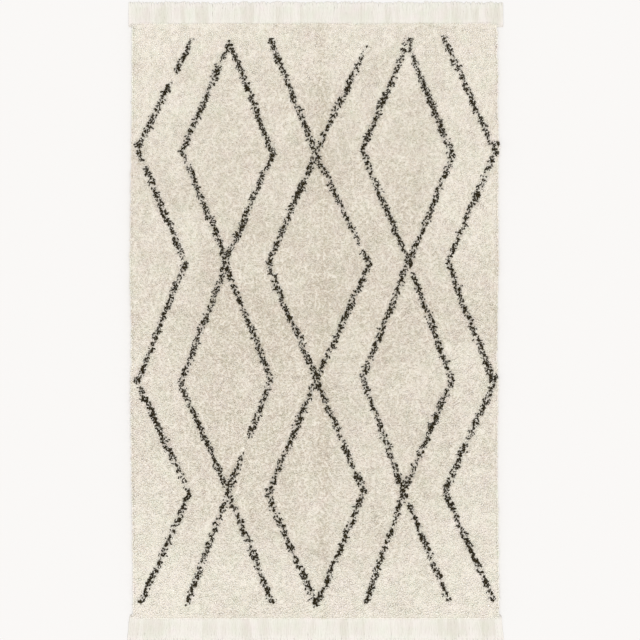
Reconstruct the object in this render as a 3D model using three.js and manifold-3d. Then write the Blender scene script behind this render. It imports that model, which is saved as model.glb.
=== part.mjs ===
// Tufted cotton rug that lies flat, with a fringe of loose yarn bundles at both ends.
// Sizes are in millimetres. +X runs across the rug, +Y along it to the far end and +Z up from the floor.
// The origin is under the middle of the rug, on the floor.

import * as THREE from "three";
import Module from "manifold-3d";

// Pile field
const PILE_WIDTH = 1511; // between the long edges
const PILE_LENGTH = 2440; // between the two fringes
const PILE_TOP = 16.6; // mean height of the pile above the floor
const LUMP_HEIGHT = 1.4; // the pile's mounds and hollows go this far from that mean
const LUMP_PITCH = 49; // from one mound or hollow to the next
const LUMP_SCATTER = 9; // how far they stand off an even grid

// Base of the pile field: the woven base with the feet of the tufts, set in from the pile's rim
const BASE_THICKNESS = 5;
const SIDE_OVERHANG = 6; // of the pile past the base, at the long edges
const END_OVERHANG = 13; // the same at the ends, where it covers the fringe's heading

// Rim of the pile, where its outermost tufts hang over as locks
const LOCKS_PER_LUMP = 2;
const SHOULDER = { inset: 16, height: 15.2 }; // where the top starts to round over
const LOCK_CROWN = { inset: 4.5, height: 12.6 };
const LOCK_TIP = { inset: 1, height: 8.4 };
const LOCK_REACH = 4; // how far a lock's tip stands out past the hollow beside it
const LOCK_SCATTER = 1.1; // unevenness of tips and hollows, either way
const CORNER_SOFTNESS = { reach: 55, inset: 5 }; // the rim draws in by inset, over this reach to a corner

// How far the long edges stray outwards from straight lines, at shares of the length from the near end
const EDGE_SWAY = [
  { at: 0.0, left: -5.5, right: 5.0 },
  { at: 0.15, left: -4.5, right: 1.4 },
  { at: 0.26, left: 0.0, right: -2.0 },
  { at: 0.37, left: 3.7, right: 0.0 },
  { at: 0.47, left: 0.8, right: -2.0 },
  { at: 0.58, left: 6.0, right: 1.8 },
  { at: 0.75, left: 1.8, right: 1.0 },
  { at: 0.8, left: 0.5, right: 5.5 },
  { at: 0.86, left: -2.0, right: -1.0 },
  { at: 1.0, left: -3.3, right: -0.5 },
];

// Fringes: bundles of loose yarn that lie side by side, with their roots in a narrow heading strip.
// side is the end of the rug, and length runs from the end of the pile to the tip of a bundle.
// width is that of the strip and middle its offset towards +X, as both fringes sit a little to that side.
// flare is how far the outermost tips spread sideways.
const FRINGES = [
  { name: "fringe_far", side: 1, length: 86, width: 1536, middle: 5, flare: 2, seed: 23 },
  { name: "fringe_near", side: -1, length: 92, width: 1521, middle: 4, flare: 11, seed: 37 },
];
const GAP = 0.3; // between the strip and the base of the pile field
const STRIP_DEPTH = 10;
const STRIP_THICKNESS = 4.4;
const STRANDS = 107; // at each end
const LENGTH_SCATTER = 4;
const LEAN_SCATTER = 1.1; // between a tip and its neighbours'
const FLARE_POWER = 5; // the higher, the fewer bundles spread with the outermost

// One bundle from root to tip, at shares of its length (out) and of the tip's sideways shift (lean)
const STRAND_SECTIONS = [
  { out: 0, width: 9.6, height: 4, lean: 0 },
  { out: 0.36, width: 10.8, height: 4.2, lean: 0.24 },
  { out: 0.7, width: 9.8, height: 3.8, lean: 0.62 },
  { out: 1, width: 7, height: 2.8, lean: 1 },
];
const STRAND_CROWN = 0.62; // width of a bundle's top as a share of its width on the floor

// Waves in which neighbouring bundles lean together
const LEAN_WAVES = [
  { amplitude: 4.2, wavelength: 410, start: 0.7 },
  { amplitude: 2.2, wavelength: 168, start: 2.9 },
];

const RANDOM = { factor: 1664525, step: 1013904223, range: 2 ** 32 };
const PILE_SEED = 11;

const MATERIALS = {
  pile: new THREE.MeshStandardMaterial({ color: 0xe2dac8, roughness: 0.96, metalness: 0 }),
  fringe: new THREE.MeshStandardMaterial({ color: 0xefebe1, roughness: 0.92, metalness: 0 }),
};

const { lerp } = THREE.MathUtils;

// Repeatable random numbers from -1 to 1
function scatterFrom(seed) {
  let state = seed;
  return () => {
    state = (state * RANDOM.factor + RANDOM.step) % RANDOM.range;
    return (2 * state) / RANDOM.range - 1;
  };
}

function edgeSway(side, share) {
  const next = Math.max(1, EDGE_SWAY.findIndex((row) => row.at >= share));
  const low = EDGE_SWAY[next - 1];
  const high = EDGE_SWAY[next];
  const within = (share - low.at) / (high.at - low.at);
  return lerp(low[side], high[side], THREE.MathUtils.smoothstep(within, 0, 1));
}

// A point of the plan from its shares of the width and length, on a field drawn in by the insets
function planPoint(u, v, sideInset, endInset) {
  const left = -PILE_WIDTH / 2 - edgeSway("left", v) + sideInset;
  const right = PILE_WIDTH / 2 + edgeSway("right", v) - sideInset;
  const end = PILE_LENGTH / 2 - endInset;
  return [lerp(left, right, u), lerp(-end, end, v)];
}

// How much deeper the rim lies near a corner
function cornerInset(u, v) {
  const fromSide = Math.min(u, 1 - u) * PILE_WIDTH;
  const fromEnd = Math.min(v, 1 - v) * PILE_LENGTH;
  const away = Math.hypot(fromSide, fromEnd) / CORNER_SOFTNESS.reach;
  return CORNER_SOFTNESS.inset * Math.max(0, 1 - away) ** 2;
}

// The border of a grid, walked anticlockwise from its near left corner
function borderWalk(across, along) {
  const walk = [];
  for (let i = 0; i < across; i++) {
    walk.push([i, 0]);
  }
  for (let j = 0; j < along; j++) {
    walk.push([across, j]);
  }
  for (let i = across; i > 0; i--) {
    walk.push([i, along]);
  }
  for (let j = along; j > 0; j--) {
    walk.push([0, j]);
  }
  return walk;
}

// Triangles between two rings of vertices, the upper one above or inside the lower, facing outwards
function skirt(upper, lower) {
  const faces = [];
  let a = 0;
  let b = 0;
  while (a < upper.length || b < lower.length) {
    const edge = [upper[a % upper.length], lower[b % lower.length]];
    if ((a + 0.5) / upper.length < (b + 0.5) / lower.length) {
      a += 1;
      faces.push([...edge, upper[a % upper.length]]);
    } else {
      b += 1;
      faces.push([...edge, lower[b % lower.length]]);
    }
  }
  return faces;
}

function geometryOf(points, faces) {
  const geometry = new THREE.BufferGeometry();
  geometry.setAttribute("position", new THREE.Float32BufferAttribute(points.flat(), 3));
  geometry.setIndex(faces.flat());
  geometry.computeVertexNormals();
  return geometry;
}

// The pile and its base as one lumpy slab with locks at its rim and a flat underside
function pileFieldGeometry() {
  const scatter = scatterFrom(PILE_SEED);
  const points = [];
  const faces = [];
  const addPoint = (x, y, z) => points.push([x, y, z]) - 1;

  const across = Math.round(PILE_WIDTH / LUMP_PITCH);
  const along = Math.round(PILE_LENGTH / LUMP_PITCH);
  const grid = [];
  for (let j = 0; j <= along; j++) {
    const row = [];
    for (let i = 0; i <= across; i++) {
      const inside = i > 0 && i < across && j > 0 && j < along;
      const [x, y] = planPoint(i / across, j / along, SHOULDER.inset, SHOULDER.inset);
      const stray = inside ? LUMP_SCATTER : LOCK_SCATTER;
      const height = inside ? PILE_TOP + LUMP_HEIGHT * scatter() : SHOULDER.height;
      row.push(addPoint(x + stray * scatter(), y + stray * scatter(), height));
    }
    grid.push(row);
  }
  for (let j = 0; j < along; j++) {
    for (let i = 0; i < across; i++) {
      const [a, b, c, d] = [grid[j][i], grid[j][i + 1], grid[j + 1][i + 1], grid[j + 1][i]];
      faces.push(...((i + j) % 2 ? [[a, b, c], [a, c, d]] : [[a, b, d], [b, c, d]]));
    }
  }

  // Every second place on the fine walk is a lock, and those between are the hollows beside it
  const fine = 2 * LOCKS_PER_LUMP;
  const fineWalk = borderWalk(across * fine, along * fine);
  const lockRing = ({ inset, height }, reach) => fineWalk.map(([i, j], place) => {
    const u = i / (across * fine);
    const v = j / (along * fine);
    const depth = inset - (place % 2) * reach + LOCK_SCATTER * scatter() + cornerInset(u, v);
    const [x, y] = planPoint(u, v, depth, depth);
    return addPoint(x, y, height + LOCK_SCATTER * scatter());
  });
  const baseRing = (height) => borderWalk(across, along).map(([i, j]) => {
    const [x, y] = planPoint(i / across, j / along, SIDE_OVERHANG, END_OVERHANG);
    return addPoint(x, y, height);
  });

  const shoulder = borderWalk(across, along).map(([i, j]) => grid[j][i]);
  const rings = [
    shoulder,
    lockRing(LOCK_CROWN, LOCK_REACH / 2),
    lockRing(LOCK_TIP, LOCK_REACH),
    baseRing(BASE_THICKNESS),
    baseRing(0),
  ];
  rings.slice(1).forEach((ring, k) => faces.push(...skirt(rings[k], ring)));

  const underside = rings.at(-1);
  const middle = addPoint(0, 0, 0);
  underside.forEach((point, k) => faces.push([middle, underside[(k + 1) % underside.length], point]));
  return geometryOf(points, faces);
}

const wasm = await Module();
wasm.setup();

function solidOf(points, faces) {
  const mesh = new wasm.Mesh({
    numProp: 3,
    vertProperties: new Float32Array(points.flat()),
    triVerts: new Uint32Array(faces.flat()),
  });
  return new wasm.Manifold(mesh);
}

function geometryFromSolid(solid) {
  const { vertProperties, triVerts } = solid.getMesh();
  const geometry = new THREE.BufferGeometry();
  geometry.setAttribute("position", new THREE.BufferAttribute(vertProperties, 3));
  geometry.setIndex(new THREE.BufferAttribute(triVerts, 1));
  geometry.computeVertexNormals();
  return geometry;
}

// A solid through four-sided sections that follow each other in +Y, each anticlockwise seen from -Y
function loft(sections) {
  const sides = sections[0].length;
  const faces = [[0, 1, 2], [0, 2, 3]];
  for (let k = 0; k + 1 < sections.length; k++) {
    for (let side = 0; side < sides; side++) {
      const a = k * sides + side;
      const b = k * sides + (side + 1) % sides;
      faces.push([a, a + sides, b + sides], [a, b + sides, b]);
    }
  }
  const tip = (sections.length - 1) * sides;
  faces.push([tip, tip + 2, tip + 1], [tip, tip + 3, tip + 2]);
  return solidOf(sections.flat(), faces);
}

// One section, flat on the floor and narrower on top
function section(x, y, width, crown, height) {
  const foot = width / 2;
  const top = foot * crown;
  return [[x - foot, y, 0], [x + foot, y, 0], [x + top, y, height], [x - top, y, height]];
}

// Sideways shift of a bundle's tip, from its place x across a strip of this width
function leanAt(x, width, flare) {
  const swing = LEAN_WAVES.reduce(
    (sum, wave) => sum + wave.amplitude * Math.sin((2 * Math.PI * x) / wave.wavelength + wave.start),
    0,
  );
  const share = (2 * x) / width;
  const outward = Math.abs(share) ** FLARE_POWER;
  return swing * (1 - outward) + Math.sign(share) * flare * outward;
}

// A fringe that points to +Y, with y = 0 at the end of the pile
function fringeGeometry({ length, width, flare, seed }) {
  const scatter = scatterFrom(seed);
  const stripStart = GAP - END_OVERHANG;
  const stripEnd = stripStart + STRIP_DEPTH;
  const root = (stripStart + stripEnd) / 2;
  const pitch = (width - STRAND_SECTIONS[0].width) / (STRANDS - 1);
  let fringe = loft([stripStart, stripEnd].map((y) => section(0, y, width, 1, STRIP_THICKNESS)));
  for (let k = 0; k < STRANDS; k++) {
    const x = (k - (STRANDS - 1) / 2) * pitch;
    const tip = length + LENGTH_SCATTER * scatter();
    const shift = leanAt(x, width, flare) + LEAN_SCATTER * scatter();
    const strand = STRAND_SECTIONS.map((row) =>
      section(x + shift * row.lean, lerp(root, tip, row.out), row.width, STRAND_CROWN, row.height));
    fringe = fringe.add(loft(strand));
  }
  return geometryFromSolid(fringe);
}

function part(name, geometry, material) {
  const mesh = new THREE.Mesh(geometry, material);
  mesh.name = name;
  return mesh;
}

const rug = new THREE.Group();
rug.add(part("rug_field", pileFieldGeometry(), MATERIALS.pile));

for (const row of FRINGES) {
  const fringe = part(row.name, fringeGeometry(row), MATERIALS.fringe);
  fringe.position.set(row.middle, (row.side * PILE_LENGTH) / 2, 0);
  fringe.rotation.z = row.side > 0 ? 0 : Math.PI;
  rug.add(fringe);
}

// The uneven edges and tips leave the outline's middle a little off, so the whole rug is shifted onto it
const middle = new THREE.Box3().setFromObject(rug, true).getCenter(new THREE.Vector3());
rug.position.set(-middle.x, -middle.y, 0);

export default rug;
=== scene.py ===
import math

import bpy
import numpy as np
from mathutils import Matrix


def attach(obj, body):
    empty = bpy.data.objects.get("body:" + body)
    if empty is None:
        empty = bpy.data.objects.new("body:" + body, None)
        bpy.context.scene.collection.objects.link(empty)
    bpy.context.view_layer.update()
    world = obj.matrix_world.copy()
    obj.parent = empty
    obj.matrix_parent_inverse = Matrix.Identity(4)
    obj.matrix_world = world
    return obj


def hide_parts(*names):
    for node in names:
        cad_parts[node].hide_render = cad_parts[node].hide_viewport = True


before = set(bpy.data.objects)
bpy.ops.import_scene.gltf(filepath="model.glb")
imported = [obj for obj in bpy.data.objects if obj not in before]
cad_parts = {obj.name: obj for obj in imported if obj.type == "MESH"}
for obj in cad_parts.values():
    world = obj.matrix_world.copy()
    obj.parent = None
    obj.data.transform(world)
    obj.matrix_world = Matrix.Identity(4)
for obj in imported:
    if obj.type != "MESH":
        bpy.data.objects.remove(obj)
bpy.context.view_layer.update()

# A cream tufted cotton rug with a charcoal lozenge lattice and a fringe at both ends.
# Sizes are in metres. The pile is made of single tufts, and the fringe of single yarns.

MM = 0.001

# Pile
TUFT_PITCH = 7.7 * MM  # between neighbours in a row
ROW_PITCH = 6.8 * MM
PITCH_SCATTER = 1.9 * MM
TUFT_SIDES = 3
TUFT_FOOT_Z = 6.5 * MM
TUFT_TOP_Z = 15.8 * MM
TOP_SCATTER = 2.6 * MM
TUFT_LENGTH = 8.5 * MM  # at the rim, where the feet lie lower
CHARCOAL_LIFT = 0.8 * MM  # the charcoal yarn is a little stiffer and stands higher
CREAM_RADIUS = 3.5 * MM
CHARCOAL_RADIUS = 3.1 * MM
RADIUS_SPREAD = (0.85, 1.2)
CREAM_LEAN = 7.5 * MM  # how far a tuft's tip stands from over its foot
CHARCOAL_LEAN = 11 * MM
LEAN_SPREAD = (0.45, 1.3)
CREAM_RINGS = (0.0, 0.78)  # shares of a tuft's length that have a ring of points
CHARCOAL_RINGS = (0.0, 0.45, 0.85)
LEAN_BEND = 1.4  # a tuft starts steep and bends over
RISE_BEND = 1.7
CURL = 0.9  # how far a tuft's lean turns on its way up, in radians
NAP_HEADING = -math.pi / 2  # the pile leans to the near end
NAP_TURN = 1.0  # how far the lean turns from place to place, in radians
NAP_SIZE = 40 * MM
LEAN_TURN = 0.8  # and from tuft to tuft
BODY_TOP_Z = 10.5 * MM  # the dense pile below the tips
BODY_PITCH = 13 * MM
BODY_INSET = (9 * MM, 13.2 * MM)  # of its foot, at the sides and at the ends, clear of the fringes
BODY_REACH = (7.5 * MM, 3.5 * MM)  # its top lies closer to the edge
BODY_EAVE_Z = 4.8 * MM  # just above the heading of a fringe
BODY_EDGE_Z = 6 * MM
BODY_SLOPE = 38 * MM  # how far from the ends its top comes level
LUMP_HEIGHT = 1.2 * MM
LUMP_SIZE = 11 * MM
CLOTH_THICKNESS = 2.5 * MM
CLOTH_PITCH = 40 * MM
CLOTH_GAP = 0.2 * MM  # to the dense pile above it
CLOTH_INSET = (8 * MM, 13.2 * MM)
SIDE_RIM = (20 * MM, 9 * MM)  # how close to its edge the pile rounds over, and how far it drops
END_RIM = (32 * MM, 9.5 * MM)
RIM_LEAN = (0.5 * MM, 6 * MM)  # outwards, from the least to the most
RIM_START = (8.5 * MM, 4 * MM)  # from the sides and from the ends to the outermost tufts
RIM_PITCH = 4.5 * MM  # between the tufts of the closer row that edges the pile
RIM_ENDS = 1.5  # that row's distance from the corners, over that of the outermost tufts
RIM_LIGHT_AND_SHADE = (0.4, -0.05)  # painted light on the rounded-over rim at the sides, and painted shade on it at the ends
RIM_BEND = 1.5  # the higher, the later the rounding sets in
RIM_SCATTER = 2 * MM  # inwards, of the outermost tufts
RIM_FOOT_Z = 2.8 * MM
RIM_DEPTH = 14 * MM  # of the solid's border, from which its edge is read
RIM_CELL = 24 * MM  # along the edge, to one point of it
MOUNDS = ((0.5 * MM, 38 * MM, 12), (0.6 * MM, 110 * MM, 13))  # height, size and seed
CREAM_BANDS = 4  # the cream tufts are split into pieces along the rug

# Tone of the pile and the yarn, where 0 is their dark colour and 1 their light one
CREAM_TONE = 0.28
FAR_GLOW = (0.48, 290 * MM)  # lighter to the ends: how much, and over what length that fades
NEAR_GLOW = (0.8, 340 * MM)
SIDE_GLOW = (0.27, 100 * MM, 400 * MM)  # how much, and where it starts and stops to fade
# Painted shade along two faint storage creases, the first along the rug and the second across it
CREASE_SHADE_ALONG = (0.34, 32 * MM, 26 * MM)  # painted shade of a storage crease: how much darker, place and half width
CREASE_SHADE_ACROSS = (0.14, 20 * MM, 75 * MM)
CREAM_MOTTLE = ((0.15, 130 * MM, 31), (0.08, 55 * MM, 32), (0.03, 24 * MM, 33))  # swing, size, seed
CHARCOAL_TONE = 0.45
TUFT_TONE_SCATTER = 0.2
TUFT_SHADE_STEPS = (-0.25, 0.05, 0.1)  # painted shade at a tuft's foot and painted light at its last ring and its tip: change of tone at each
YARN_TONE = 0.5
YARN_TONE_WAVES = ((0.4, 14 * MM), (0.4, 30 * MM))  # swing and size
YARN_TONE_SCATTER = 0.1
HEADING_TONE = 0.4

# Fringe, whose bundles lie where those of the solids do, with less scatter in their length
FRINGES = (
    # node, end of the rug, length from the end of the pile, flare of the corners,
    # how far the yarns may stand past the sides of the solid, seed
    ("fringe_far", 1, 86 * MM, 2 * MM, 0.0, 23),
    ("fringe_near", -1, 92 * MM, 11 * MM, 7 * MM, 37),
)
STRANDS = 107
STRIP_INSET = 12.7 * MM  # from the end of the pile to the strip's inner edge
STRIP_DEPTH = 10 * MM
STRIP_THICKNESS = 4.2 * MM
STRIP_TOLERANCE = 0.1 * MM  # within which the solid's points belong to its strip's inner edge
RIB_DEPTH = 0.5 * MM
ROOT_WIDTH = 9.6 * MM
LENGTH_SCATTER = 2.4 * MM
YARN_TIP_SCATTER = (-5 * MM, 5 * MM)  # of a yarn's tip from that of its bundle
LEAN_SCATTER = 1.1 * MM
FLARE_POWER = 5
LEAN_WAVES = ((4.2 * MM, 410 * MM, 0.7), (2.2 * MM, 168 * MM, 2.9))
# The solids' own random numbers, so that the bundles fall as they do there
RANDOM_FACTOR, RANDOM_STEP, RANDOM_RANGE = 1664525, 1013904223, 2**32
YARNS = 7  # in a bundle
YARN_RADIUS = 3.5 * MM
YARN_RADIUS_SPREAD = (0.9, 1.1)
YARN_WAVE = 0.6 * MM  # from side to side on its way
YARN_WAVE_COUNT = (1, 2)  # from root to tip
YARN_FLATNESS = 0.42  # soft yarn lies wider than it is high, and its tip flatter still
TIP_FLATNESS = 0.1
FLATNESS_BEND = 4  # the higher, the closer to the tip
TIP_WIDTH = 0.8  # of a cut tip, as a share of its yarn's
TIP_REACH = 2 * MM  # of its closed end, beyond the last ring
TIP_PAINTED_LIGHT = 0.8  # painted light on the tips and the roots, against the shade that gathers there
ROOT_PAINTED_LIGHT = 0.8
TONE_BEND = 6  # the higher, the closer to the tip and to the root
YARN_SIDES = 5
YARN_SHARES = (0, 0.12, 0.3, 0.52, 0.76, 0.97, 1)  # where a yarn has a ring of points
BUNDLE_SPREAD = 6.2 * MM  # from a bundle's middle to its outer yarns
BUNDLE_WIDENING = (0.8, 0.4)  # share of that at the root, and what is added up to the tip
BUNDLE_TWIST = (0.2, 0.5)  # turns of its yarns round each other, either way
BUNDLE_HEIGHT = 0.7 * MM
BUNDLE_SINK = 0.8  # share of that height that is gone at the tip
SINK_BEND = 3  # the higher, the closer to the tip it goes
BUNDLE_SWAY = 1.3 * MM  # of a bundle's tip to either side
BUNDLE_WAVE = (3 * MM, 45 * MM)  # in which neighbours sway together: how far, and its size
SHIFT_BEND = 1.2  # a bundle leans more and more to its tip
BUNDLE_LIFT = 0.9 * MM  # the higher bundles lie partly over their neighbours
ROOT_RISE = 1.6 * MM  # the bundles come out from under the pile above the floor
ROOT_CREST = 2 * MM
ROOT_REACH = 13 * MM

# The lattice, in millimetres from the middle of the pile field: the corners of each zigzag, far end first
ZIGZAGS = (
    ((-505, 1155), (-726, 710), (-531, 238), (-724, -250), (-513, -706), (-709, -1146)),
    ((-350, 1146), (-541, 697), (-362, 252), (-364, 230), (-177, -240), (-355, -698), (-523, -1156)),
    ((-350, 1146), (-172, 690), (-362, 252), (-364, 230), (-550, -250), (-355, -698), (-173, -1150)),
    ((-180, 1155), (5, 690), (225, 235), (7, -236), (-193, -710), (5, -1163)),
    ((222, 1151), (5, 690), (-192, 234), (7, -236), (203, -704), (5, -1163)),
    ((387, 1155), (196, 698), (387, 240), (563, -240), (366, -698), (214, -1143)),
    ((378, 1151), (564, 676), (387, 240), (198, -228), (366, -698), (548, -1134)),
    ((531, 1162), (742, 698), (546, 245), (735, -254), (533, -692), (731, -1142)),
)
# Dense knots at the outermost corners: x, y, half width and half height in millimetres
KNOTS = (
    (-730, 727, 13, 6),
    (-726, -239, 14, 10),
    (750, 730, 11, 8),
    (746, -227, 12, 7),
)
# Places where a line thins out: x, y, radius in millimetres, and how much of its width goes
FADES = (
    (-585, 1001, 26, 20),
    (211, 1127, 45, 9),
    (-283, -515, 42, 12),
    (193, 307, 18, 14),
    (392, 209, 17, 14),
    (160, 345, 34, 5),
    (383, -735, 14, 14),
)
FADE_EDGE = 4  # the higher, the sharper such a place ends
LINE_HALF_WIDTH = 11.4 * MM
LEAST_HALF_WIDTH = 0.1 * MM
WIDTH_SWING = 1.9 * MM
WIDTH_WAVE = 60 * MM
LINE_WANDER = 2 * MM
WANDER_WAVE = 90 * MM
EDGE_DEPTH = 2 * MM  # how ragged a line's edges are
EDGE_WAVE = 11 * MM
CURL_SIZE = 10.5 * MM  # a line is made of curled strokes, with cream between them
CORE_SHARE = 0.238  # how broad the strokes are, in a line's middle and at its edges
EDGE_SHARE = 0.15
CURL_SWING = 0.04  # and how much that changes along a line
CURL_WAVE = 34 * MM
GROUND_DYE = 0.25  # how dark the dense pile is under the lines

# Photo: the frame is 640 pixels wide, and the middle of the pile field lies a little left of its middle
PIXEL = 4.1 * MM
FRAME_PIXELS = 640
FIELD_MIDDLE_PIXEL = (314.6, 320.9)
LENS = 120.0
SENSOR = 36.0

# Linear colours
CREAM_DARK = (0.698, 0.632, 0.529)
CREAM_LIGHT = (0.926, 0.898, 0.835)
CHARCOAL_DARK = (0.018, 0.013, 0.004)
CHARCOAL_LIGHT = (0.06, 0.046, 0.02)
IVORY_DARK = (0.716, 0.688, 0.625)
IVORY_LIGHT = (0.806, 0.784, 0.738)
BASE_DARK = (0.6, 0.53, 0.42)
BASE_LIGHT = (0.8, 0.75, 0.64)
FLOOR = (0.81, 0.796, 0.783)
PINK_HUE = (1.047, 0.961, 1.012)  # the undyed cotton drifts between these two
OLIVE_HUE = (0.935, 1.001, 0.905)

# Surface of the yarn and of the weave
PATCH_SIZE = 75 * MM
DRIFT_SIZE = 60 * MM
FIBRE_SWING = 0.12
YARN_ROUGHNESS = 0.92
ROUGHNESS_SWING = 0.05  # from fibre to fibre
CLOTH_ROUGHNESS = 0.95
CLOTH_SHEEN = 0.05
GROUND_FIBRE = 1.4 * MM
SHEEN_ROUGHNESS = 0.6
SPECULAR_LEVEL = 0.15
WEAVE_PITCH = 2.4 * MM
WEAVE_TONE = 0.5  # how much lighter the weave is on its threads
WEAVE_PATCH = (0.25, 60 * MM)  # swing and size of its slow change of tone
STITCH_NARROWING = 3.0  # the higher, the narrower the rows of stitches
STITCH_LENGTH = 1.7  # over the distance between two rows
STITCH_HEIGHT = 2.0  # over the height of the weave

# Light and floor
WORLD_STRENGTH = 0.85
SUN_STRENGTH = 1.09
SUN_WIDTH = 35  # in degrees, as the next one
SUN_TILT = (18, 4)  # from the near end, a little to the right
FLOOR_HALF = 40.0
FLOOR_ROUGHNESS = 0.9
FLOOR_DROP = 0.2 * MM  # below the rug, so that the two don't share a plane


def smooth_noise(x, y, size, seed):
    """Even noise from -1 to 1 whose bumps are about size apart."""
    cells = 512
    lattice = np.random.default_rng(seed).uniform(-1, 1, (cells, cells))
    u, v = x / size, y / size
    i, j = np.floor(u).astype(int), np.floor(v).astype(int)
    fu, fv = u - i, v - j
    fu, fv = fu * fu * (3 - 2 * fu), fv * fv * (3 - 2 * fv)

    def at(di, dj):
        return lattice[(i + di) % cells, (j + dj) % cells]

    low = at(0, 0) * (1 - fu) + at(1, 0) * fu
    high = at(0, 1) * (1 - fu) + at(1, 1) * fu
    return low * (1 - fv) + high * fv


def node_points(name):
    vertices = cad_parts[name].data.vertices
    points = np.empty(len(vertices) * 3, np.float32)
    vertices.foreach_get("co", points)
    return points.reshape(-1, 3).astype(float)


class Outline:
    """The pile field's edge, read from the rim of its solid."""

    def __init__(self):
        points = node_points("rug_field")
        self.low, self.high = points.min(0), points.max(0)
        self.middle = (self.low + self.high) / 2
        sides = {
            "left": (0, 1, points[:, 0] < self.low[0] + RIM_DEPTH, -1),
            "right": (0, 1, points[:, 0] > self.high[0] - RIM_DEPTH, 1),
            "near": (1, 0, points[:, 1] < self.low[1] + RIM_DEPTH, -1),
            "far": (1, 0, points[:, 1] > self.high[1] - RIM_DEPTH, 1),
        }
        self.tables = {}
        for side, (across, along, chosen, sign) in sides.items():
            found = points[chosen]
            cells = np.round(found[:, along] / RIM_CELL).astype(int)
            places, outermost = [], []
            for cell in np.unique(cells):
                reach = (sign * found[cells == cell, across]).max()
                places.append(cell * RIM_CELL)
                outermost.append(sign * reach)
            self.tables[side] = (places, outermost)

    def edge(self, side, along):
        return np.interp(along, *self.tables[side])

    def from_sides(self, x, y):
        return np.minimum(x - self.edge("left", y), self.edge("right", y) - x)

    def from_ends(self, x, y):
        return np.minimum(y - self.edge("near", x), self.edge("far", x) - y)

    def depth(self, x, y):
        """How far a point lies inside the nearest edge."""
        return np.minimum(self.from_sides(x, y), self.from_ends(x, y))


def smooth_step(value, start, end):
    share = np.clip((value - start) / (end - start), 0, 1)
    return share * share * (3 - 2 * share)


def line_place(x, y):
    """Where points, from the middle of the field, lie in a charcoal line: 0 in its middle, 1 at its edge."""
    px = x + LINE_WANDER * smooth_noise(x, y, WANDER_WAVE, 501)
    py = y + LINE_WANDER * smooth_noise(x, y, WANDER_WAVE, 502)
    nearest = np.full(x.shape, 1.0)
    for corners in ZIGZAGS:
        for (ax, ay), (bx, by) in zip(corners[:-1], corners[1:]):
            ax, ay, bx, by = (value * MM for value in (ax, ay, bx, by))
            dx, dy = bx - ax, by - ay
            share = np.clip(((px - ax) * dx + (py - ay) * dy) / (dx * dx + dy * dy), 0, 1)
            nearest = np.minimum(nearest, np.hypot(px - ax - share * dx, py - ay - share * dy))
    width = LINE_HALF_WIDTH + WIDTH_SWING * smooth_noise(x, y, WIDTH_WAVE, 503)
    for fx, fy, radius, loss in FADES:
        away = np.hypot(x - fx * MM, y - fy * MM) / (radius * MM)
        width = width - loss * MM * np.exp(-(away**FADE_EDGE))
    width = width + EDGE_DEPTH * smooth_noise(x, y, EDGE_WAVE, 504)
    return nearest / np.maximum(width, LEAST_HALF_WIDTH)


def in_stroke(x, y):
    """Whether points lie on the curled strokes that a charcoal line is made of."""
    place = line_place(x, y)
    share = EDGE_SHARE + (CORE_SHARE - EDGE_SHARE) * (1 - place**2)
    share = share + CURL_SWING * smooth_noise(x, y, CURL_WAVE, 506)
    curls = [np.abs(smooth_noise(x, y, CURL_SIZE, seed)) for seed in (505, 507)]
    return (place < 1) & (np.minimum(*curls) < share)


def in_knot(x, y):
    inside = np.zeros(x.shape, bool)
    for kx, ky, half_width, half_height in KNOTS:
        away = np.hypot((x - kx * MM) / (half_width * MM), (y - ky * MM) / (half_height * MM))
        inside |= away < 1
    return inside


def new_piece(name, points, quads, triangles, material, values=None, tiles=None, smooth=True):
    """A mesh object from arrays, with named values for each point and a bake map for each face corner."""
    mesh = bpy.data.meshes.new(name)
    mesh.vertices.add(len(points))
    mesh.vertices.foreach_set("co", np.ascontiguousarray(points, np.float32).ravel())
    loops = np.concatenate([np.ravel(quads), np.ravel(triangles)]).astype(np.int32)
    starts = np.concatenate(
        [np.arange(len(quads)) * 4, len(quads) * 4 + np.arange(len(triangles)) * 3]
    ).astype(np.int32)
    mesh.loops.add(len(loops))
    mesh.loops.foreach_set("vertex_index", loops)
    mesh.polygons.add(len(starts))
    mesh.polygons.foreach_set("loop_start", starts)
    mesh.polygons.foreach_set("use_smooth", np.full(len(starts), smooth))
    for attribute, numbers in (values or {}).items():
        mesh.attributes.new(attribute, "FLOAT", "POINT").data.foreach_set(
            "value", np.ascontiguousarray(numbers, np.float32)
        )
    if tiles is not None:
        mesh.uv_layers.new(name="OFBake").data.foreach_set(
            "uv", np.ascontiguousarray(tiles, np.float32).ravel()
        )
    mesh.update(calc_edges=True)
    mesh.validate()
    mesh.materials.append(material)
    piece = bpy.data.objects.new(name, mesh)
    bpy.context.scene.collection.objects.link(piece)
    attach(piece, "root")
    return piece


# Materials


def noise(tree, size, detail):
    """Noise with bumps about size apart, fixed to the piece."""
    place = tree.nodes.new("ShaderNodeTexCoord")
    node = tree.nodes.new("ShaderNodeTexNoise")
    node.inputs["Scale"].default_value = 1 / size
    node.inputs["Detail"].default_value = detail
    tree.links.new(place.outputs["Object"], node.inputs["Vector"])
    return node.outputs["Fac"]


def bands(tree, axis, period):
    """Soft bands from 0 to 1 that follow each other along an axis."""
    place = tree.nodes.new("ShaderNodeTexCoord")
    node = tree.nodes.new("ShaderNodeTexWave")
    node.bands_direction = axis
    # One wave is a tenth of pi at a scale of 1
    node.inputs["Scale"].default_value = math.pi / 10 / period
    tree.links.new(place.outputs["Object"], node.inputs["Vector"])
    return node.outputs["Fac"]


def attribute(tree, name):
    node = tree.nodes.new("ShaderNodeAttribute")
    node.attribute_name = name
    return node.outputs["Fac"]


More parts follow.
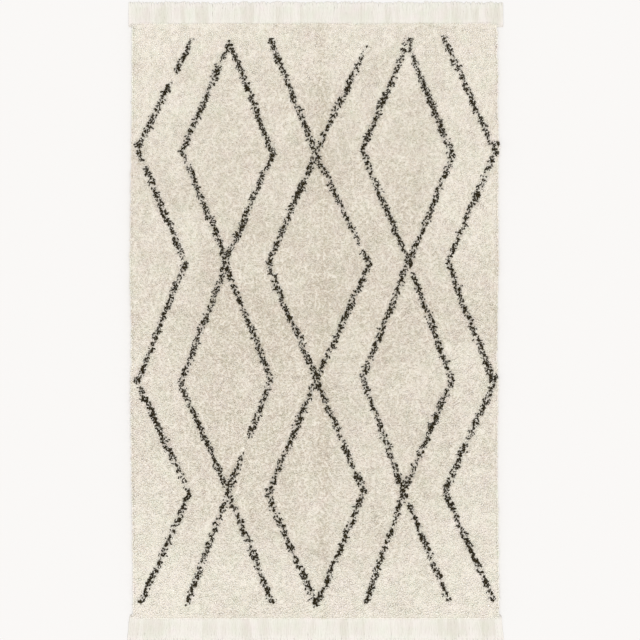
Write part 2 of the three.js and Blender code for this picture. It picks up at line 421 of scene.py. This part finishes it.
def worked_out(tree, operation, *terms):
    node = tree.nodes.new("ShaderNodeMath")
    node.operation = operation
    for socket, term in zip(node.inputs, terms):
        if isinstance(term, float):
            socket.default_value = term
        else:
            tree.links.new(term, socket)
    return node.outputs[0]


def around_zero(tree, value, swing):
    """A value from 0 to 1 brought to swing either side of zero."""
    return worked_out(tree, "MULTIPLY_ADD", value, 2 * swing, -swing)


def mixed(tree, share, first, second):
    """A colour between two, each of which is a tuple or the output of a node."""
    node = tree.nodes.new("ShaderNodeMix")
    node.data_type = "RGBA"
    tree.links.new(share, node.inputs[0])
    for socket, colour in ((node.inputs[6], first), (node.inputs[7], second)):
        if isinstance(colour, tuple):
            socket.default_value = (*colour, 1)
        else:
            tree.links.new(colour, socket)
    return node.outputs[2]


def cloth_shader(name, roughness, sheen):
    material = bpy.data.materials.new(name)
    material.use_nodes = True
    shader = material.node_tree.nodes["Principled BSDF"]
    shader.inputs["Sheen Weight"].default_value = sheen
    shader.inputs["Sheen Roughness"].default_value = SHEEN_ROUGHNESS
    shader.inputs["Specular IOR Level"].default_value = SPECULAR_LEVEL
    shader.inputs["Roughness"].default_value = roughness
    return material, material.node_tree, shader


def relief(tree, shader, height, strength, distance):
    raised = tree.nodes.new("ShaderNodeBump")
    raised.inputs["Strength"].default_value = strength
    raised.inputs["Distance"].default_value = distance
    tree.links.new(height, raised.inputs["Height"])
    tree.links.new(raised.outputs["Normal"], shader.inputs["Normal"])


def yarn_material(name, dark, light, fibre, patch_swing, sheen):
    """A matt yarn whose tone, kept in its points, moves its colour between dark and light."""
    material, tree, shader = cloth_shader(name, YARN_ROUGHNESS, sheen)
    patches = around_zero(tree, noise(tree, PATCH_SIZE, detail=2.0), patch_swing)
    fibres = noise(tree, fibre, detail=2.0)
    shade = worked_out(tree, "ADD", attribute(tree, "tone"), patches)
    shade = worked_out(tree, "ADD", shade, around_zero(tree, fibres, FIBRE_SWING))
    colour = mixed(tree, shade, dark, light)
    drift = noise(tree, DRIFT_SIZE, detail=3.0)
    hue = mixed(tree, drift, PINK_HUE, OLIVE_HUE)
    tinted = tree.nodes.new("ShaderNodeMix")
    tinted.data_type = "RGBA"
    tinted.blend_type = "MULTIPLY"
    tinted.inputs[0].default_value = 1.0
    tree.links.new(colour, tinted.inputs[6])
    tree.links.new(hue, tinted.inputs[7])
    tree.links.new(tinted.outputs[2], shader.inputs["Base Color"])
    rough = worked_out(tree, "ADD", around_zero(tree, fibres, ROUGHNESS_SWING), YARN_ROUGHNESS)
    tree.links.new(rough, shader.inputs["Roughness"])
    relief(tree, shader, fibres, strength=0.5, distance=0.5 * MM)
    return material


def ground_material(cream, charcoal):
    """The dense pile under the tips: cream, and charcoal where its points say so."""
    material, tree, shader = cloth_shader("pile_ground", CLOTH_ROUGHNESS, CLOTH_SHEEN)
    fibres = noise(tree, GROUND_FIBRE, detail=2.0)
    light = mixed(tree, fibres, cream[0], cream[1])
    dark = mixed(tree, fibres, charcoal[0], charcoal[1])
    tree.links.new(mixed(tree, attribute(tree, "dye"), light, dark), shader.inputs["Base Color"])
    relief(tree, shader, fibres, strength=0.6, distance=0.8 * MM)
    return material


def weave_material(name, dark, light, thread, stitch):
    """Plain weave with rows of tufting stitches across it."""
    material, tree, shader = cloth_shader(name, CLOTH_ROUGHNESS, CLOTH_SHEEN)
    weave = worked_out(tree, "MAXIMUM", bands(tree, "X", thread), bands(tree, "Y", thread))
    rows = worked_out(tree, "POWER", bands(tree, "Y", stitch), STITCH_NARROWING)
    dashes = worked_out(tree, "MULTIPLY", rows, bands(tree, "X", STITCH_LENGTH * stitch))
    height = worked_out(tree, "MULTIPLY_ADD", dashes, STITCH_HEIGHT, weave)
    uneven = around_zero(tree, noise(tree, WEAVE_PATCH[1], detail=3.0), WEAVE_PATCH[0])
    shade = worked_out(tree, "MULTIPLY_ADD", weave, WEAVE_TONE, uneven)
    shade = worked_out(tree, "ADD", shade, dashes)
    tree.links.new(mixed(tree, shade, dark, light), shader.inputs["Base Color"])
    relief(tree, shader, height, strength=0.8, distance=0.5 * MM)
    return material


# Tubes: tufts and yarns


def tube_faces(rings, sides):
    """Quads and triangles of one tube: rings of points from its closed foot on, then its tip."""
    tip = rings * sides
    quads = []
    triangles = [(0, s + 1, s) for s in range(1, sides - 1)]
    for s in range(sides):
        following = (s + 1) % sides
        for ring in range(0, tip - sides, sides):
            quads.append((ring + s, ring + following, ring + sides + following, ring + sides + s))
        triangles.append((tip - sides + s, tip - sides + following, tip))
    return np.array(quads), np.array(triangles)


def tube_tiles(count, rings, sides):
    """Bake map corners: a square tile for each tube, with its sides next to each other in it."""
    quads, triangles = tube_faces(rings, sides)
    tip = rings * sides
    levels = 1 / (rings + 1)
    corners = []
    for face in [*quads, *triangles[sides - 2 :]]:
        side = face[0] % sides
        for place, point in enumerate(face):
            ahead = 0.5 if point == tip else float(place in (1, 2))
            corners.append(((side + ahead) / sides, (point // sides + 1) * levels))
    # The closed foot has its place below the sides
    foot = [(0.5 + 0.3 * math.cos(s), levels * (0.4 + 0.3 * math.sin(s))) for s in range(sides)]
    foot = [foot[point] for face in triangles[: sides - 2] for point in face]
    quad_corners = np.array(corners[: 4 * len(quads)])
    triangle_corners = np.array(foot + corners[4 * len(quads) :])
    across = math.ceil(math.sqrt(count))
    place = np.arange(count)
    origin = np.stack([place % across, place // across], 1)[:, None, :]
    inner = 0.9

    def laid(flat):
        return ((origin + flat[None] * inner + (1 - inner) / 2) / across).reshape(-1, 2)

    return np.concatenate([laid(quad_corners), laid(triangle_corners)])


def tubes(paths, radii, across, turn, sides, flatness=1.0):
    """Points and faces of many tubes.

    paths is tubes x (rings + 1) x 3, ending in the tips, radii is tubes x rings, across is a
    level direction square to each path, turn is how far the corners are turned, and flatness is a
    tube's height over its width.
    """
    count, rings = radii.shape
    along = np.gradient(paths, axis=1)[:, :rings]
    along /= np.linalg.norm(along, axis=2, keepdims=True)
    across = np.broadcast_to(across[:, None], along.shape)
    upper = flatness * np.cross(across, along)
    angles = turn[:, None, None, None] + np.arange(sides)[:, None] * 2 * math.pi / sides
    ring = across[:, :, None] * np.cos(angles) + upper[:, :, None] * np.sin(angles)
    points = np.empty((count, rings * sides + 1, 3))
    points[:, :-1] = (paths[:, :rings, None] + ring * radii[:, :, None, None]).reshape(count, -1, 3)
    points[:, -1] = paths[:, -1]
    first = np.arange(count)[:, None, None] * (rings * sides + 1)
    quads, triangles = tube_faces(rings, sides)
    return points.reshape(-1, 3), (first + quads).reshape(-1, 4), (first + triangles).reshape(-1, 3)


# Pile


def cream_tone(x, y, outline):
    """Slow change of the pile's tone: lighter to the edges, with painted shade along two faint creases from
    storage.
    """
    from_side = outline.high[0] - np.abs(x)
    tone = CREAM_TONE + FAR_GLOW[0] * np.exp(-(outline.high[1] - y) / FAR_GLOW[1])
    tone += NEAR_GLOW[0] * np.exp(-(y - outline.low[1]) / NEAR_GLOW[1])
    tone += SIDE_GLOW[0] * (1 - smooth_step(from_side, *SIDE_GLOW[1:]))
    # Painted shade: the tone darkens along the two creases
    for along, (depth, place, half_width) in ((x, CREASE_SHADE_ALONG), (y, CREASE_SHADE_ACROSS)):
        tone -= depth * np.exp(-(((along - place) / half_width) ** 2))
    return tone + sum(swing * smooth_noise(x, y, size, seed) for swing, size, seed in CREAM_MOTTLE)


def tuft_places(outline, rng):
    """Where the tufts stand, in rows a little out of line, and which are charcoal.

    The charcoal yarn is worked twice as densely.
    """
    low, high, middle = outline.low, outline.high, outline.middle
    rows = np.arange(low[1], high[1], ROW_PITCH)
    columns = np.arange(low[0], high[0], TUFT_PITCH)
    layers = []
    for layer in range(2):
        x, y = np.meshgrid(columns, rows + layer * ROW_PITCH / 2)
        x = x + (np.arange(len(rows)) % 2)[:, None] * TUFT_PITCH / 2
        x = x.ravel() + rng.uniform(-PITCH_SCATTER, PITCH_SCATTER, x.size)
        y = y.ravel() + rng.uniform(-PITCH_SCATTER, PITCH_SCATTER, y.size)
        across, along = x - middle[0], y - middle[1]
        dark = in_stroke(across, along) | in_knot(across, along)
        kept = (outline.from_sides(x, y) > RIM_START[0]) & (outline.from_ends(x, y) > RIM_START[1])
        kept &= dark | (layer == 0)
        layers.append((x[kept], y[kept], dark[kept]))
    for side, inwards, axis in (("left", 1, 1), ("right", -1, 1), ("near", 1, 0), ("far", -1, 0)):
        margin = RIM_ENDS * RIM_START[axis]
        along = np.arange(low[axis] + margin, high[axis] - margin, RIM_PITCH)
        away = RIM_START[1 - axis] + rng.uniform(0, RIM_SCATTER, along.size)
        across = outline.edge(side, along) + inwards * away
        x, y = (across, along) if axis else (along, across)
        layers.append((x, y, in_knot(x - middle[0], y - middle[1])))
    return (np.concatenate(parts) for parts in zip(*layers))


def pile_tufts(outline):
    """Foot, lean, height, size and tone of each tuft of the pile."""
    rng = np.random.default_rng(7)
    x, y, dark = tuft_places(outline, rng)
    count = len(x)
    nap = NAP_HEADING + NAP_TURN * smooth_noise(x, y, NAP_SIZE, 11)
    heading = nap + rng.normal(0, LEAN_TURN, count)
    lean = np.where(dark, CHARCOAL_LEAN, CREAM_LEAN) * rng.uniform(*LEAN_SPREAD, count)

    # Towards the rim the tufts lean out and hang lower
    step = 2 * MM
    out_x = outline.depth(x - step, y) - outline.depth(x + step, y)
    out_y = outline.depth(x, y - step) - outline.depth(x, y + step)
    from_sides, from_ends = outline.from_sides(x, y), outline.from_ends(x, y)
    rims = [
        np.clip(1 - away / reach, 0, 1) ** RIM_BEND
        for away, reach in ((from_sides, SIDE_RIM[0]), (from_ends, END_RIM[0]))
    ]
    rim = np.maximum(*rims)
    lean_x = lean * np.cos(heading) * (1 - rim)
    lean_y = lean * np.sin(heading) * (1 - rim)
    outwards = rim * rng.uniform(*RIM_LEAN, count) / (np.hypot(out_x, out_y) + 1e-9)
    lean_x, lean_y = lean_x + outwards * out_x, lean_y + outwards * out_y

    mounds = sum(height * smooth_noise(x, y, size, seed) for height, size, seed in MOUNDS)
    top = TUFT_TOP_Z + mounds + rng.uniform(-TOP_SCATTER, TOP_SCATTER, count)
    top -= np.maximum(rims[0] * SIDE_RIM[1], rims[1] * END_RIM[1])
    # Those over a heading stand on top of it
    lowest = np.where(from_ends < STRIP_INSET + CREAM_RADIUS, BODY_EAVE_Z, RIM_FOOT_Z)
    radius = np.where(dark, CHARCOAL_RADIUS, CREAM_RADIUS) * rng.uniform(*RADIUS_SPREAD, count)
    # Painted light lifts the rounded-over rim at the sides, and painted shade dims it at the ends
    tone = cream_tone(x, y, outline) + RIM_LIGHT_AND_SHADE[0] * rims[0] + RIM_LIGHT_AND_SHADE[1] * rims[1]
    return {
        "foot": np.stack([x, y, np.clip(top - TUFT_LENGTH, lowest, TUFT_FOOT_Z)], 1),
        "heading": np.arctan2(lean_y, lean_x),
        "lean": np.hypot(lean_x, lean_y),
        "curl": rng.uniform(-CURL, CURL, count),
        "top": top + CHARCOAL_LIFT * dark,
        "radius": radius,
        "turn": rng.uniform(0, 2 * math.pi, count),
        "tone": np.where(dark, CHARCOAL_TONE, tone) + TUFT_TONE_SCATTER * rng.normal(0, 1, count),
        "dark": dark,
    }


def add_tufts(name, tufts, chosen, rings, material):
    """The chosen tufts as one piece, with rings of points at the given shares of their length."""
    foot, heading, lean, curl, top, radius, turn, tone = (
        tufts[key][chosen] for key in ("foot", "heading", "lean", "curl", "top", "radius", "turn", "tone")
    )
    shares = np.array([*rings, 1.0])
    bearing = heading[:, None] + curl[:, None] * (shares - 0.5)
    out = lean[:, None] * shares**LEAN_BEND
    rise = (top - foot[:, 2])[:, None] * (1 - (1 - shares) ** RISE_BEND)
    paths = foot[:, None] + np.stack([out * np.cos(bearing), out * np.sin(bearing), rise], 2)
    across = np.stack([np.sin(heading), -np.cos(heading), np.zeros_like(heading)], 1)
    radii = np.repeat(radius[:, None], len(rings), 1)
    points, quads, triangles = tubes(paths, radii, across, turn, TUFT_SIDES)
    # Painted shade darkens each tuft's foot, and painted light brightens its upper ring and tip
    steps = np.linspace(*TUFT_SHADE_STEPS[:2], len(rings))
    steps = np.append(np.repeat(steps, TUFT_SIDES), TUFT_SHADE_STEPS[2])
    tones = (tone[:, None] + steps[None]).ravel()
    tiles = tube_tiles(len(foot), len(rings), TUFT_SIDES)
    return new_piece(name, points, quads, triangles, material, {"tone": tones}, tiles)


def slab_mesh(outline, top_inset, levels, z_top, z_edge, slope, pitch, lump):
    """A closed slab drawn in from the pile's outline, with an uneven top that drops to its edge.

    top_inset is that of its top from the sides and from the ends, levels are the insets and
    heights of the rings below it, down to the foot, and slope is how far from the ends the top
    comes level.
    """
    along = round((outline.high[1] - outline.low[1]) / pitch)
    across = round((outline.high[0] - outline.low[0]) / pitch)
    width = across + 1
    u, v = np.meshgrid(np.linspace(0, 1, across + 1), np.linspace(0, 1, along + 1))
    full_x = outline.low[0] + u * (outline.high[0] - outline.low[0])
    full_y = outline.low[1] + v * (outline.high[1] - outline.low[1])

    def plan(inset):
        left, right = outline.edge("left", full_y) + inset[0], outline.edge("right", full_y) - inset[0]
        near, far = outline.edge("near", full_x) + inset[1], outline.edge("far", full_x) - inset[1]
        return left + u * (right - left), near + v * (far - near)

    ring = np.concatenate(
        [
            np.arange(across),
            across + width * np.arange(along),
            along * width + across - np.arange(across),
            width * (along - np.arange(along)),
        ]
    )
    x, y = plan(top_inset)
    rise = smooth_step(outline.from_ends(x, y), 0, slope)
    z = z_edge + rise * (z_top + lump * smooth_noise(x, y, LUMP_SIZE, 21) - z_edge)
    border = np.zeros(u.shape, bool)
    border.ravel()[ring] = True
    z[border] = z_edge
    cell = (np.arange(along)[:, None] * width + np.arange(across)[None]).ravel()
    quads = [np.stack([cell, cell + 1, cell + 1 + width, cell + width], 1)]
    points = [np.stack([x, y, z], 2).reshape(-1, 3)]
    upper, count = ring, x.size
    for inset, height in levels:
        low_x, low_y = (part.ravel()[ring] for part in plan(inset))
        points.append(np.stack([low_x, low_y, np.full(len(ring), height)], 1))
        lower = count + np.arange(len(ring))
        quads.append(np.stack([upper, lower, np.roll(lower, -1), np.roll(upper, -1)], 1))
        upper, count = lower, count + len(ring)
    points.append([[*outline.middle[:2], levels[-1][1]]])
    under = np.stack([np.full(len(ring), count), np.roll(upper, -1), upper], 1)
    return np.concatenate(points), np.concatenate(quads), under


# Fringe


def bundle_rows(width, length, flare, seed):
    """Place, length and sideways shift of each bundle, in the order and at the places of the solids."""
    state = seed

    def scatter():
        nonlocal state
        state = (state * RANDOM_FACTOR + RANDOM_STEP) % RANDOM_RANGE
        return 2 * state / RANDOM_RANGE - 1

    pitch = (width - ROOT_WIDTH) / (STRANDS - 1)
    rows = []
    for k in range(STRANDS):
        x = (k - (STRANDS - 1) / 2) * pitch
        tip = length + LENGTH_SCATTER * scatter()
        swing = sum(size * math.sin(2 * math.pi * x / wave + start) for size, wave, start in LEAN_WAVES)
        share = 2 * x / width
        outward = abs(share) ** FLARE_POWER
        shift = swing * (1 - outward) + math.copysign(flare * outward, share)
        rows.append((x, tip, shift + LEAN_SCATTER * scatter()))
    return rows


def yarn_flatness():
    fade = np.array(YARN_SHARES) ** FLATNESS_BEND
    return YARN_FLATNESS * (1 - fade) + TIP_FLATNESS * fade


def yarn_path(x, shift, lift, tip, turn, twist, rng):
    """Middle line and thickness of one yarn, which turns slowly round the middle of its bundle."""
    root = STRIP_DEPTH / 2 - STRIP_INSET
    share = np.array(YARN_SHARES)
    angle = turn + 2 * math.pi * twist * share
    wave = YARN_WAVE * np.sin(2 * math.pi * (share * rng.uniform(*YARN_WAVE_COUNT) + rng.uniform()))
    radius = YARN_RADIUS * np.where(share == 1, TIP_WIDTH, 1.0) * rng.uniform(*YARN_RADIUS_SPREAD)
    spread = BUNDLE_SPREAD * (BUNDLE_WIDENING[0] + BUNDLE_WIDENING[1] * share)
    path_x = x + shift * share**SHIFT_BEND + spread * np.cos(angle) + wave
    path_y = root + (tip - root) * share
    height = BUNDLE_HEIGHT * (0.5 + 0.5 * np.sin(angle)) * (1 - BUNDLE_SINK * share**SINK_BEND)
    path_z = radius * yarn_flatness() + height
    path_z = path_z + ROOT_RISE * np.exp(-(((path_y - ROOT_CREST) / ROOT_REACH) ** 2))
    path_z = path_z + lift * np.sin(math.pi * share) ** 2
    path = np.stack([path_x, path_y, path_z], 1)
    return np.concatenate([path, path[-1:] + [0, TIP_REACH, 0]]), radius


def yarn_tone(x, seed):
    """Tone of the yarn at a place along a fringe, in fine and in broad waves."""
    x, y = np.array(x), np.array(0.0)
    waves = enumerate(YARN_TONE_WAVES)
    return YARN_TONE + sum(swing * smooth_noise(x, y, size, seed + k) for k, (swing, size) in waves)


def fringe_mesh(width, reach, length, flare, seed):
    """Yarns of one fringe that points to +Y, with the end of the pile at 0: points, faces and tones.

    reach is how far its yarns may go to the left and to the right.
    """
    rng = np.random.default_rng(seed)
    paths, radii, tones = [], [], []
    for x, tip, shift in bundle_rows(width, length, flare, seed):
        twist = rng.uniform(*BUNDLE_TWIST) * rng.choice([-1, 1])
        start = rng.uniform(0, 2 * math.pi)
        sway = shift + BUNDLE_SWAY * rng.normal()
        sway += BUNDLE_WAVE[0] * smooth_noise(np.array(x), np.array(0.0), BUNDLE_WAVE[1], seed + 2)
        lift = BUNDLE_LIFT * rng.uniform()
        for yarn in range(YARNS):
            turn = start + 2 * math.pi * yarn / YARNS
            yarn_tip = tip + rng.uniform(*YARN_TIP_SCATTER)
            path, radius = yarn_path(x, sway, lift, yarn_tip, turn, twist, rng)
            path[:, 0] = np.clip(path[:, 0], reach[0] + YARN_RADIUS, reach[1] - YARN_RADIUS)
            paths.append(path)
            radii.append(radius)
            tone = yarn_tone(x + BUNDLE_SPREAD * math.cos(turn), seed)
            tones.append(tone + YARN_TONE_SCATTER * rng.normal())
    count, rings = len(paths), len(YARN_SHARES)
    across = np.tile([1.0, 0.0, 0.0], (count, 1))
    points, quads, triangles = tubes(
        np.array(paths), np.array(radii), across, np.zeros(count), YARN_SIDES, yarn_flatness()[:, None]
    )
    shares = np.array(YARN_SHARES)
    # Painted light on each yarn's tip and root
    lighter = TIP_PAINTED_LIGHT * shares**TONE_BEND + ROOT_PAINTED_LIGHT * (1 - shares) ** TONE_BEND
    lighter = np.append(np.repeat(lighter, YARN_SIDES), TIP_PAINTED_LIGHT)
    tones = (np.array(tones)[:, None] + lighter).ravel()
    return points, quads, triangles, tones, tube_tiles(count, rings, YARN_SIDES)


def heading_mesh(width):
    """The heading strip that holds the roots of a fringe, with a ribbed top."""
    ribs = 2 * STRANDS
    x = np.linspace(-width / 2, width / 2, ribs + 1)
    start, end = -STRIP_INSET, -STRIP_INSET + STRIP_DEPTH
    height = STRIP_THICKNESS - RIB_DEPTH * (np.arange(ribs + 1) % 2)
    section = [(start, 0.0), (end, 0.0), (end, 1.0), (start, 1.0)]
    points = np.array([[[px, y, z * top] for y, z in section] for px, top in zip(x, height)])
    quads = []
    for k in range(ribs):
        for s in range(4):
            a, b = k * 4 + s, k * 4 + (s + 1) % 4
            quads.append((a, a + 4, b + 4, b))
    last = ribs * 4
    quads.append((0, 1, 2, 3))
    quads.append((last + 3, last + 2, last + 1, last))
    return points.reshape(-1, 3), np.array(quads)


def add_fringe(node, side, length, flare, overhang, seed, material):
    """The yarns and heading of one fringe, placed by the inner edge of its solid's strip."""
    solid = node_points(node)
    inner = (side * solid[:, 1]).min()
    strip = solid[side * solid[:, 1] < inner + STRIP_TOLERANCE]
    width = np.ptp(strip[:, 0])
    middle_x = (strip[:, 0].min() + strip[:, 0].max()) / 2
    end_y = side * (inner + STRIP_INSET)

    def placed(points):
        return points * [side, side, 1] + [middle_x, end_y, 0]

    reach = np.sort(side * (np.array([solid[:, 0].min(), solid[:, 0].max()]) - middle_x))
    reach = reach + np.array([-overhang, overhang])
    points, quads, triangles, tones, tiles = fringe_mesh(width, reach, length, flare, seed)
    yarn = new_piece(
        f"{node}_yarn", placed(points), quads, triangles, material, {"tone": tones}, tiles
    )
    points, quads = heading_mesh(width)
    head = new_piece(
        f"{node}_heading", placed(points), quads, np.empty((0, 3), int), material,
        {"tone": np.full(len(points), HEADING_TONE)},
    )
    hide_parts(node)
    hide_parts(node)
    return [yarn, head]


# Build

outline = Outline()

pile_cream = yarn_material(
    "pile_cream", CREAM_DARK, CREAM_LIGHT, fibre=1.1 * MM, patch_swing=0.1, sheen=0.1
)
pile_charcoal = yarn_material(
    "pile_charcoal", CHARCOAL_DARK, CHARCOAL_LIGHT, fibre=1.1 * MM, patch_swing=0.1, sheen=0.0
)
pile_ground = ground_material((CREAM_DARK, CREAM_LIGHT), (CHARCOAL_DARK, CHARCOAL_LIGHT))
fringe_cotton = yarn_material(
    "fringe_cotton", IVORY_DARK, IVORY_LIGHT, fibre=1.4 * MM, patch_swing=0.2, sheen=0.1
)
base_cotton = weave_material("base_cotton", BASE_DARK, BASE_LIGHT, WEAVE_PITCH, ROW_PITCH)

tufts = pile_tufts(outline)
share_along = (tufts["foot"][:, 1] - outline.low[1]) / (outline.high[1] - outline.low[1])
band = np.clip((share_along * CREAM_BANDS).astype(int), 0, CREAM_BANDS - 1)
pile_pieces = [
    add_tufts(
        f"pile_cream_{k + 1}", tufts, ~tufts["dark"] & (band == k), CREAM_RINGS, pile_cream
    )
    for k in range(CREAM_BANDS)
]
pile_pieces.append(
    add_tufts("pile_charcoal", tufts, tufts["dark"], CHARCOAL_RINGS, pile_charcoal)
)

body_levels = ((BODY_INSET, BODY_EAVE_Z), (BODY_INSET, CLOTH_THICKNESS + CLOTH_GAP))
points, quads, triangles = slab_mesh(
    outline, BODY_REACH, body_levels, BODY_TOP_Z, BODY_EDGE_Z, BODY_SLOPE, BODY_PITCH, LUMP_HEIGHT
)
dye = GROUND_DYE * (line_place(points[:, 0] - outline.middle[0], points[:, 1] - outline.middle[1]) < 1)
body = new_piece(
    "pile_body", points, quads, triangles, pile_ground, {"dye": dye}, smooth=False
)
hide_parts("rug_field")

fringe_pieces = []
for node, side, length, flare, overhang, seed in FRINGES:
    fringe_pieces += add_fringe(node, side, length, flare, overhang, seed, fringe_cotton)

points, quads, triangles = slab_mesh(
    outline, CLOTH_INSET, ((CLOTH_INSET, 0.0),), CLOTH_THICKNESS, CLOTH_THICKNESS, BODY_SLOPE,
    CLOTH_PITCH, 0.0,
)
cloth = new_piece("base_cloth", points, quads, triangles, base_cotton, smooth=False)

# Stage


def add_floor():
    material = bpy.data.materials.new("floor")
    material.use_nodes = True
    shader = material.node_tree.nodes["Principled BSDF"]
    shader.inputs["Base Color"].default_value = (*FLOOR, 1)
    shader.inputs["Roughness"].default_value = FLOOR_ROUGHNESS
    shader.inputs["Specular IOR Level"].default_value = 0.0
    mesh = bpy.data.meshes.new("floor")
    corners = [(x * FLOOR_HALF, y * FLOOR_HALF, 0) for x, y in ((-1, -1), (1, -1), (1, 1), (-1, 1))]
    mesh.from_pydata(corners, [], [(0, 1, 2, 3)])
    mesh.materials.append(material)
    floor = bpy.data.objects.new("floor", mesh)
    floor.location.z = -FLOOR_DROP
    bpy.context.scene.collection.objects.link(floor)


def add_light():
    world = bpy.data.worlds.new("studio")
    bpy.context.scene.world = world
    world.use_nodes = True
    background = world.node_tree.nodes["Background"]
    background.inputs["Color"].default_value = (1.0, 1.0, 1.0, 1)
    background.inputs["Strength"].default_value = WORLD_STRENGTH
    sun = bpy.data.lights.new("soft_key", "SUN")
    sun.energy = SUN_STRENGTH
    sun.angle = math.radians(SUN_WIDTH)
    lamp = bpy.data.objects.new("soft_key", sun)
    lamp.rotation_euler = (*(math.radians(tilt) for tilt in SUN_TILT), 0)
    bpy.context.scene.collection.objects.link(lamp)


def add_camera():
    camera = bpy.data.cameras.new("camera")
    camera.lens = LENS
    camera.sensor_width = SENSOR
    camera.clip_end = 100
    eye = bpy.data.objects.new("camera", camera)
    middle = FRAME_PIXELS / 2
    eye.location = (
        outline.middle[0] + (middle - FIELD_MIDDLE_PIXEL[0]) * PIXEL,
        outline.middle[1] - (middle - FIELD_MIDDLE_PIXEL[1]) * PIXEL,
        FRAME_PIXELS * PIXEL * LENS / SENSOR + TUFT_TOP_Z,
    )
    bpy.context.scene.collection.objects.link(eye)
    bpy.context.scene.camera = eye


add_floor()
add_light()
add_camera()
bpy.context.scene.view_settings.view_transform = "Standard"
